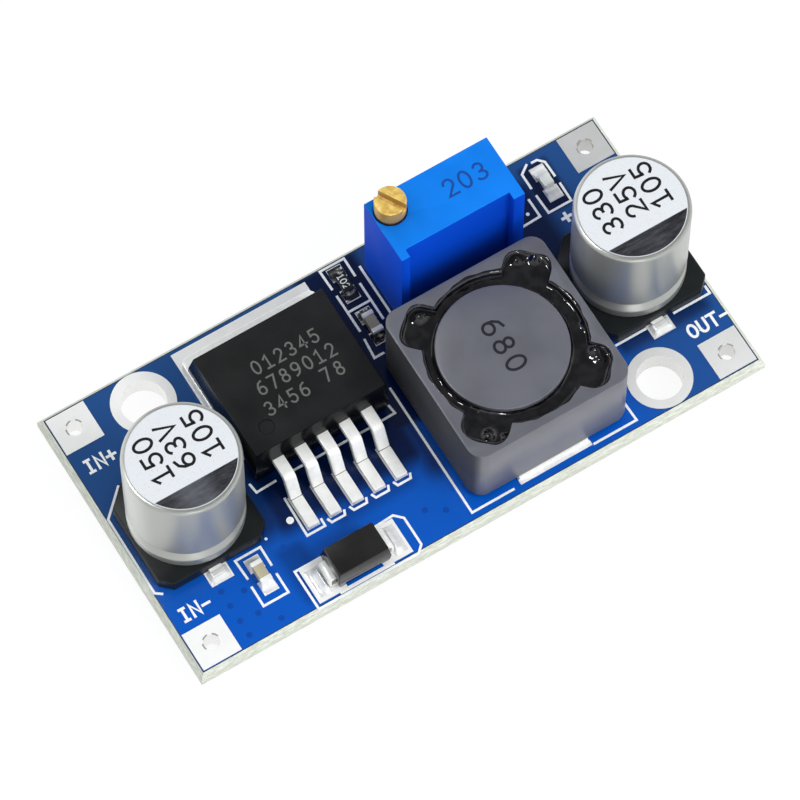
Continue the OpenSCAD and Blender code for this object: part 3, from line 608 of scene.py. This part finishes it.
def letters(rows, height, finish, name, z, thick, turn=0.0, width=1.0, pitch=0.92, stroke=0.16):
    """Rows of single-stroke characters: (text, x, y) of a row's middle; turn is the way it reads."""
    bm = bmesh.new()
    count = 0
    way = Matrix.Rotation(radians(turn), 2)
    for text, x, y in rows:
        run = (len(text) - 1) * pitch
        for i, letter in enumerate(text):
            for line in STROKES[letter]:
                pts = [way @ Vector((((u - 0.33) * width + i * pitch - run / 2) * height, (v - 0.5) * height))
                       for u, v in line]
                ring = (pts[0] - pts[-1]).length < 1e-6
                count += 1
                lift = 0.0004 * (count % 7)     # strokes that cross lie one above the other
                ribbon(bm, [(p.x + x, p.y + y) for p in (pts[:-1] if ring else pts)], stroke, z - SUNK,
                       z + thick + lift, ring)
    finished(bm, name, finish)


# printed outlines: the part they belong to, then points from its spot
OUTLINES = (
    ("input_cap", [(-2.75, 4.27), (-4.52, 2.56), (-4.55, -3.55), (-4.15, -3.85)]),
    ("output_cap", [(-3.5, -4.2), (-1.1, -4.2)]),
    ("output_cap", [(1.1, -4.2), (3.92, -4.2), (3.92, -3.65)]),
    ("regulator", [(-5.47, 0.28), (-5.38, -0.41), (-3.9, -0.36)]),
    ("regulator", [(4.5, -0.29), (5.45, -0.27), (5.37, 0.37)]),
    ("regulator", [(-4.01, -1.79), (-4.10, -4.82), (-2.72, -4.82), (-2.70, -4.3)]),
    ("inductor", [(-6.6, 3.9), (-6.62, -6.57), (-3.4, -6.57)]),
    ("inductor", [(2.95, -6.57), (6.25, -6.57), (6.2, -5.0)]),
    ("trimmer", [(-4.94, 2.69), (-4.94, -1.48)]),
    ("resistor", [(-0.87, 0.08), (-0.90, 1.61), (1.00, 1.61), (0.98, 0.16)]),
    ("feedback_cap", [(-0.91, 3.08), (-0.91, 0.15)]),
    ("feedback_cap", [(0.91, 3.08), (0.91, 0.15)]),
    ("feedback_cap", [(-0.91, 1.71), (0.91, 1.71)]),
    ("feedback_cap", [(-0.97, -0.61), (-1.10, -2.08), (-0.41, -2.07)]),
    ("diode", [(2.32, 1.45), (3.77, 1.53), (4.31, 1.00), (4.31, -1.20), (3.85, -1.65), (-3.84, -1.65),
               (-3.85, 1.45), (-1.70, 1.45)]),
    ("bypass_cap", [(-0.91, 0.26), (-0.97, 1.75), (0.96, 1.75), (0.94, 0.30)]),
    ("bypass_cap", [(-0.98, -0.45), (-0.99, -1.97), (0.91, -1.97), (0.91, -0.49)]),
    ("indicator", [(-0.01, 1.81), (0.36, 1.81), (0.76, 1.40), (0.78, 0.20)]),
    ("indicator", [(-0.45, 1.85), (-1.08, 1.39), (-1.09, 0.22)]),
    ("indicator", [(-1.08, -0.51), (-1.04, -1.98), (0.76, -1.98), (0.79, -0.53)]),
    ("indicator", [(-1.68, -0.49), (-1.68, -1.91), (-3.43, -1.98)]),
    ("indicator", [(-2.15, -0.42), (-2.93, -1.41)]),
    ("regulator", [(-2.52, -0.32), (-1.82, -0.32)]),
    ("regulator", [(-0.72, -0.32), (-0.02, -0.32)]),
    ("regulator", [(1.03, -0.32), (1.73, -0.32)]),
    ("regulator", [(2.69, -0.32), (3.39, -0.32)]),
)
# printed dots: the part, x and y from its spot, radius
DOTS = (
    ("regulator", -4.51, -3.29, 0.26), ("indicator", -2.31, -1.34, 0.13),
    ("input_cap", 3.70, -4.05, 0.10), ("feedback_cap", -0.36, -1.30, 0.12),
)


def legend():
    """White print on the board: outlines and dots at the parts, and what each wire pad is for."""
    line_w, line_t = 0.17, 0.015                # width and thickness of a line, mm
    _, margin, _, _ = block("corner_pads")
    paths = [[(SPOTS[part].x + x, SPOTS[part].y + y) for x, y in points] for part, points in OUTLINES]
    for i in range(2, 6):                       # a bracket at the toe of each lead but the first
        x, toe = middle(f"regulator_lead_{i}").x, front(f"regulator_lead_{i}").y
        paths.append([(x - 0.62, toe), (x - 0.5, toe - 0.29), (x + 0.5, toe - 0.29), (x + 0.62, toe)])
    bm = bmesh.new()
    for i, path in enumerate(paths):
        lift = 0.0006 * (i % 9)                 # lines that cross lie one above the other
        ribbon(bm, [(min(margin, max(-margin, x)), y) for x, y in path], line_w, TOP - SUNK, TOP + line_t + lift)
    at = SPOTS["diode"]
    ribbon(bm, [(at.x - 1.92, at.y - 1.38), (at.x + 1.98, at.y - 1.38)], 0.26, TOP - SUNK, TOP + 0.014)
    for part, x, y, r in DOTS:
        disc(bm, SPOTS[part].x + x, SPOTS[part].y + y, r, TOP - SUNK, TOP + 0.02)
    finished(bm, "legend_lines", "ink")
    letters([("IN+", 0.27 - PAD_X, PAD_Y - 2.89), ("IN-", 0.28 - PAD_X, 2.60 - PAD_Y),
             ("OUT-", PAD_X + 0.10, 2.52 - PAD_Y), ("OUT+", PAD_X + 0.10, PAD_Y - 2.52)],
            1.02, "ink", "legend_words", TOP, 0.02, width=0.95, pitch=0.80, stroke=0.19)
    at = SPOTS["indicator"]
    letters([("+", at.x - 0.16, at.y - 2.86)], 1.0, "ink", "legend_plus", TOP, 0.02, stroke=0.22)


# plated-through holes under the mask, from the board's middle
VIAS = (
    (-17.69, -6.2), (-17.69, -7.37), (-16.36, -8.75), (-15.25, -9.84), (-17.67, -8.62), (-17.67, -9.78),
    (-16.36, -6.9), (-13.0, -9.0), (-12.6, -5.6), (18.9, -6.2), (18.9, -9.0), (-3.2, -8.2), (-2.0, -8.9),
)


def tented_vias():
    """Plated-through holes under the mask, seen as faint dimples."""
    bm = bmesh.new()
    for x, y in VIAS:
        disc(bm, x, y, 0.22, TOP - SUNK, TOP + 0.004, 16)
    finished(bm, "tented_vias", "via")


def hole_rim_arcs():
    """Dull grey arcs at the rims of the wire holes."""
    bm = bmesh.new()
    z = TOP + COPPER
    for cx in (-PAD_X, PAD_X):
        for cy in (-PAD_Y, PAD_Y):
            for turn in (95, 165, 20):
                ribbon(bm, arc(cx, cy, 0.60, 0.60, turn, turn + 34, 6), 0.10, z - SUNK, z + 0.006)
    finished(bm, "hole_rim_arcs", "rim_arc")


def lead_creases():
    """Painted shade in the lower bend of each regulator lead."""
    lead_t, bend = 0.5, 2.26                    # thickness of a lead, and its lower bend to its toe, mm
    foot = TOP + COPPER + lead_t
    bm = bmesh.new()
    for i in range(1, 6):
        x0, x1, toe, _ = block(f"regulator_lead_{i}")
        ribbon(bm, [(x0 + 0.02, toe + bend), (x1 - 0.02, toe + bend)], 0.09, foot - 2 * SUNK, foot + 0.012)
    finished(bm, "lead_creases", "crease")


legend()
tented_vias()
hole_rim_arcs()
lead_creases()

# radius of the eased edges, mm
EASED = {
    "regulator_body": 0.07, "regulator_tab": 0.08, "trimmer_housing": 0.07, "inductor_shield": 0.14,
    "inductor_drum": 0.10, "input_cap_base": 0.10, "output_cap_base": 0.10, "diode_body": 0.07,
    "trimmer_screw": 0.03, "led_lens": 0.06, "resistor_body": 0.03, "bypass_cap_body": 0.06,
    "feedback_cap_body": 0.06, "inductor_terminal_a": 0.05, "inductor_terminal_b": 0.05,
    "bypass_cap_terminals": 0.04, "feedback_cap_terminals": 0.04, "resistor_terminals": 0.03,
    **{f"regulator_lead_{i}": 0.05 for i in range(1, 6)},
    "diode_lead_anode": 0.03, "diode_lead_cathode": 0.03,
    **{f"{side}_cap_lead_{end}": 0.04 for side in ("input", "output") for end in "ab"},
}
for node, radius in EASED.items():
    eased(node, radius)
for node in ("input_cap_can", "output_cap_can"):
    frame["nodes"][node].data.shade_smooth()
    frame["nodes"][node].data.set_sharp_from_angle(angle=radians(40))


def can_words(node, rows, name):
    """Ratings on a can's top: three rows that read across the board."""
    c = middle(node)
    letters([(text, c.x + dx, c.y + dy) for text, dx, dy in rows], 1.42, "black_ink", name, roof(node), 0.006,
            turn=90, width=1.05, pitch=0.88, stroke=0.2)


def part_numbers():
    """Plain numbers on the tops of the parts."""
    can_words("input_cap_can", [("150", -1.75, 0.75), ("63V", 0.05, 0.9), ("105", 2.0, 0.75)], "input_can_words")
    can_words("output_cap_can", [("330", -1.85, 0.75), ("25V", 0.1, 1.0), ("105", 1.9, 0.75)], "output_can_words")
    c = middle("inductor_drum")
    letters([("680", c.x + 0.15, c.y + 0.05)], 1.5, "dark_ink", "inductor_number", roof("inductor_drum"), 0.004,
            turn=-90, width=1.05, stroke=0.2, pitch=1.0)
    c = SPOTS["trimmer"]
    letters([("203", c.x + 1.9, c.y + 0.52)], 1.35, "blue_ink", "trimmer_number", roof("trimmer_housing"), 0.004,
            width=0.95, pitch=0.86, stroke=0.17)
    c = middle("regulator_body")
    letters([("012345", c.x + 0.5, c.y + 1.1), ("6789012", c.x + 0.5, c.y - 0.35), ("3456", c.x - 1.12, c.y - 1.9),
             ("7", c.x + 1.97, c.y - 1.75), ("8", c.x + 2.96, c.y - 1.75)],
            1.05, "grey_ink", "regulator_number", roof("regulator_body"), 0.004, width=0.85, pitch=0.84, stroke=0.13)
    _, right, _, _ = block("resistor_body")
    letters([("102", right - 0.38, middle("resistor_body").y)], 0.5, "ink", "resistor_number",
            roof("resistor_body"), 0.003, turn=-90, pitch=0.8, stroke=0.07)


def solder_skin(bm, land, lead, height, reach, steps=18):
    """Solder that lies on a land and rises in a hollow curve to a lead or an end cap (both x0, x1, y0, y1)."""
    x0, x1, y0, y1 = land
    film, wetting, steepest = 0.04, 0.12, 3.0   # thickness on the land, width of its wet rim, steepest rise
    rows = []
    for j in range(steps + 1):
        row = []
        for i in range(steps + 1):
            x, y = x0 + (x1 - x0) * i / steps, y0 + (y1 - y0) * j / steps
            gap = hypot(max(lead[0] - x, 0, x - lead[1]), max(lead[2] - y, 0, y - lead[3]))
            rim = min(x - x0, x1 - x, y - y0, y1 - y)
            rise = min(height * max(0.0, 1 - gap / reach) ** 2, steepest * rim)
            z = TOP + COPPER - 0.012 + rise + film * min(1.0, rim / wetting)
            row.append(bm.verts.new((x * MM, y * MM, z * MM)))
        rows.append(row)
    skinned(bm, rows)


def chip_joints(bm, part, height):
    """Solder at both ends of a chip part."""
    x0, x1, y0, y1 = block(part + "_terminals")
    mid = (x0 + x1) / 2
    for a, b in ((y0 - 0.6, y0 + 0.32), (y1 - 0.32, y1 + 0.6)):
        solder_skin(bm, (mid - 0.55, mid + 0.55, a, b), (x0, x1, y0, y1), height, 0.5)


def painted_dark_joints():
    """Solder at the resistor and the feedback capacitor, painted dark for the dark parts it mirrors."""
    bm = bmesh.new()
    chip_joints(bm, "resistor", 0.32)
    chip_joints(bm, "feedback_cap", 0.45)
    finished(bm, "chip_solder", "chip_solder", smooth=True)


def bright_joints():
    """Bright solder at the other chips, the diode, the capacitors and the inductor."""
    bm = bmesh.new()
    chip_joints(bm, "bypass_cap", 0.45)
    chip_joints(bm, "led", 0.30)
    for lead, out in (("diode_lead_cathode", -1), ("diode_lead_anode", 1)):
        x0, x1, y0, y1 = block(lead)
        near = x0 if out < 0 else x1
        far = near + out * 0.95
        solder_skin(bm, (min(near, far), max(near, far), y0 - 0.35, y1 + 0.35), (x0, x1, y0 + 0.25, y1 - 0.25),
                    1.0, 0.8, 24)
    for cap in ("input_cap", "output_cap"):
        for end, out in (("_lead_a", -1), ("_lead_b", 1)):
            x0, x1, y0, y1 = block(cap + end)
            tip = y0 if out < 0 else y1
            under, past = tip - out * 0.62, tip + out * 0.36
            solder_skin(bm, (x0 - 0.3, x1 + 0.3, min(under, past), max(under, past)), (x0, x1, y0, y1), 0.22, 0.35)
    x0, x1, y0, y1 = block("inductor_terminal_a")
    solder_skin(bm, (x0 - 0.1, x1 + 0.1, y0 - 0.38, y0 + 0.1), (x0, x1, y0, y1), 0.26, 0.34, 30)
    x0, x1, y0, y1 = block("inductor_terminal_b")
    solder_skin(bm, (x0 - 0.1, x1 + 0.1, y1 - 0.1, y1 + 0.38), (x0, x1, y0, y1), 0.26, 0.34, 30)
    finished(bm, "lead_solder", "solder", smooth=True)


# the shield's opening, mm: its round hole, and the half length, half width and corners of its pockets
HOLE_R, POCKET_LONG, POCKET_WIDE, POCKET_R = 5.5, 6.97, 1.6, 1.0
# lumps of resin over the wire's ends: x, y from the shield's middle, height, width
LUMPS = (
    (-3.7, 4.9, 0.55, 0.42), (3.95, 5.12, 0.50, 0.40), (4.98, 4.55, 0.50, 0.36), (5.0, -3.2, 0.50, 0.42),
    (4.9, -3.9, 0.35, 0.3), (-4.3, -4.7, 0.45, 0.36), (-3.4, -5.4, 0.35, 0.3), (5.3, -1.2, 0.25, 0.25),
)


def opening_reach(angle):
    """Distance from the shield's middle to the edge of its opening in one direction."""
    far = HOLE_R
    for turn in (45, 135):
        lo, hi = 0.0, POCKET_LONG + 1
        c, s = cos(angle - radians(turn)), sin(angle - radians(turn))
        for _ in range(30):
            d = (lo + hi) / 2
            u, v = abs(d * c), abs(d * s)
            du, dv = max(0.0, u - POCKET_LONG + POCKET_R), max(0.0, v - POCKET_WIDE + POCKET_R)
            inside = u <= POCKET_LONG and v <= POCKET_WIDE and hypot(du, dv) <= POCKET_R
            lo, hi = (d, hi) if inside else (lo, d)
        far = max(far, lo)
    return far


def resin_surface():
    """Potting resin in the shield's opening: it climbs the walls and covers the ends of the wire."""
    level, brim = roof("inductor_resin"), roof("inductor_shield") - 0.05
    c, d = middle("inductor_shield"), middle("inductor_drum")
    x0, x1, _, _ = block("inductor_drum")
    lap = 0.03                                  # how far the resin reaches into the walls, mm
    climb, climb_w = 0.30, 0.32                 # how high it climbs them, and from how far off, mm
    core = (x1 - x0) / 2 - lap
    spokes, rings = 360, 18
    bm = bmesh.new()
    rows = []
    for i in range(spokes):
        a = 2 * pi * i / spokes
        far = opening_reach(a) + lap
        outer = Vector((c.x + far * cos(a), c.y + far * sin(a)))
        inner = Vector((d.x + core * cos(a), d.y + core * sin(a)))
        span = (outer - inner).length
        row = []
        for j in range(rings + 1):
            t = j / rings
            t = t * t * (3 - 2 * t)
            p = inner.lerp(outer, t)
            near = min(t, 1 - t) * span
            z = level + climb * max(0.0, 1 - near / climb_w) ** 2
            for lx, ly, tall, wide in LUMPS:
                z += tall * exp(-((p.x - c.x - lx) ** 2 + (p.y - c.y - ly) ** 2) / wide ** 2)
            # slow ripples of the set surface
            z += 0.03 * sin(p.x * 2.1 + 1.0) * sin(p.y * 1.7) + 0.02 * sin(p.x * 4.3 - p.y * 3.7)
            row.append(bm.verts.new((p.x * MM, p.y * MM, min(z, brim) * MM)))
        rows.append(row)
    skinned(bm, rows, closed=True)
    finished(bm, "resin_surface", "resin", smooth=True)


def resin_rim():
    """Thin uneven run of resin over the rim of the shield's opening."""
    c, z = middle("inductor_shield"), roof("inductor_shield")
    spokes = 540
    bm = bmesh.new()
    rows = []
    for i in range(spokes):
        a = 2 * pi * i / spokes
        far = opening_reach(a)
        spill = 0.10 + 0.05 * sin(5 * a + 1) + 0.05 * sin(13 * a) + 0.03 * sin(29 * a + 2)
        section = ((far - 0.06, -0.06), (far - 0.01, 0.004), (far + spill * 0.5, 0.012),
                   (far + max(spill, 0.02), -0.004))
        rows.append([bm.verts.new(((c.x + reach * cos(a)) * MM, (c.y + reach * sin(a)) * MM, (z + lift) * MM))
                     for reach, lift in section])
    skinned(bm, rows, closed=True)
    finished(bm, "resin_rim", "resin", smooth=True)


part_numbers()
painted_dark_joints()
bright_joints()
resin_surface()
resin_rim()


# ---------------------------------------------------------------- floor, light, camera

def shade_floor():
    """White floor that still takes the object's shadow."""
    f = Finish("studio_floor", Base_Color=(0.9, 0.9, 0.9, 1), Roughness=0.9, Specular_IOR_Level=0.0)
    path = f.tree.nodes.new("ShaderNodeLightPath")
    mirrored = Wire(f, path.outputs["Is Glossy Ray"]).most(Wire(f, path.outputs["Is Transmission Ray"]))
    seen = Wire(f, path.outputs["Is Camera Ray"]) * 0.9
    glow = f.node("ShaderNodeEmission", {}, {"Color": (1.0, 1.0, 1.0), "Strength": 1.03})
    blend = f.node("ShaderNodeMixShader", {}, {0: seen.most(mirrored), 1: Wire(f, f.shader.outputs[0]), 2: glow})
    f.tree.links.new(blend.socket, f.out.inputs[0])
    return f.material


def build_floor():
    """Plain floor under the pins, which isn't part of the object."""
    bm = bmesh.new()
    bmesh.ops.create_grid(bm, x_segments=1, y_segments=1, size=0.6)
    mesh = bpy.data.meshes.new("studio_floor")
    bm.to_mesh(mesh)
    bm.free()
    mesh.materials.append(shade_floor())
    floor = bpy.data.objects.new("studio_floor", mesh)
    bpy.context.scene.collection.objects.link(floor)


def build_sky():
    """White behind everything; a soft fill, and a dimmer ceiling for what the shiny parts mirror."""
    world = bpy.data.worlds.new("studio")
    bpy.context.scene.world = world
    world.use_nodes = True
    tree = world.node_tree
    tree.nodes.clear()
    put = tree.nodes.new
    out, path, where, split = (put("ShaderNode" + kind) for kind in
                               ("OutputWorld", "LightPath", "TexCoord", "SeparateXYZ"))
    fill, mirrored, seen = (put("ShaderNodeBackground") for _ in range(3))
    first, second = put("ShaderNodeMixShader"), put("ShaderNodeMixShader")
    fill.inputs[0].default_value = (0.95, 0.98, 1.0, 1)
    fill.inputs[1].default_value = FILL
    climb, clear = put("ShaderNodeMapRange"), put("ShaderNodeMath")
    clear.operation = "MAXIMUM"
    climb.interpolation_type = "SMOOTHSTEP"
    for i, value in enumerate((0.30, 0.85, 1.0, CEILING)):      # white at the horizon, dim overhead
        climb.inputs[i + 1].default_value = value
    link = tree.links.new
    link(where.outputs["Generated"], split.inputs[0])
    link(split.outputs["Z"], climb.inputs[0])
    link(climb.outputs[0], mirrored.inputs[1])
    link(path.outputs["Is Glossy Ray"], first.inputs[0])
    link(fill.outputs[0], first.inputs[1])
    link(mirrored.outputs[0], first.inputs[2])
    link(path.outputs["Is Camera Ray"], clear.inputs[0])
    link(path.outputs["Is Transmission Ray"], clear.inputs[1])
    link(clear.outputs[0], second.inputs[0])
    link(first.outputs[0], second.inputs[1])
    link(seen.outputs[0], second.inputs[2])
    seen.inputs[0].default_value = mirrored.inputs[0].default_value = (1, 1, 1, 1)
    link(second.outputs[0], out.inputs[0])


def lamp(name, place, size, power, mirrored=False):
    """Soft disc lamp turned to the board; a mirrored one shows only in what shines."""
    data = bpy.data.lights.new(name, "AREA")
    data.shape, data.size, data.energy = "DISK", size, power
    held = bpy.data.objects.new(name, data)
    held.location = place
    board_middle = Vector((0, 0, 0.004))
    held.rotation_euler = (Vector(place) - board_middle).to_track_quat("Z", "Y").to_euler()
    bpy.context.scene.collection.objects.link(held)
    held.visible_glossy, held.visible_diffuse = mirrored, not mirrored


def build_camera():
    """Looks down on the board from the front, a little to the input end."""
    azimuth, elevation, distance = radians(-121.3), radians(66.40), 0.400
    sensor, lens_to_sensor = 36.0, 7.489        # sensor width, mm, and the lens in sensor widths
    aim = Vector((-0.000472, -0.000535, TOP * MM))
    data = bpy.data.cameras.new("camera")
    data.sensor_width, data.lens = sensor, lens_to_sensor * sensor
    data.clip_start, data.clip_end = 0.01, 10
    camera = bpy.data.objects.new("camera", data)
    look = Vector((cos(elevation) * cos(azimuth), cos(elevation) * sin(azimuth), sin(elevation)))
    camera.location = aim + look * distance
    camera.rotation_euler = look.to_track_quat("Z", "Y").to_euler()
    bpy.context.scene.collection.objects.link(camera)
    bpy.context.scene.camera = camera


build_floor()
build_sky()
lamp("key", (0.15, -0.24, 0.30), 0.20, 0.75)
lamp("spark_left", (-0.21, 0.08, 0.35), 0.09, 0.7, True)
lamp("spark_front", (-0.13, -0.37, 0.15), 0.06, 0.25, True)
build_camera()
bpy.context.scene.view_settings.view_transform = "Standard"
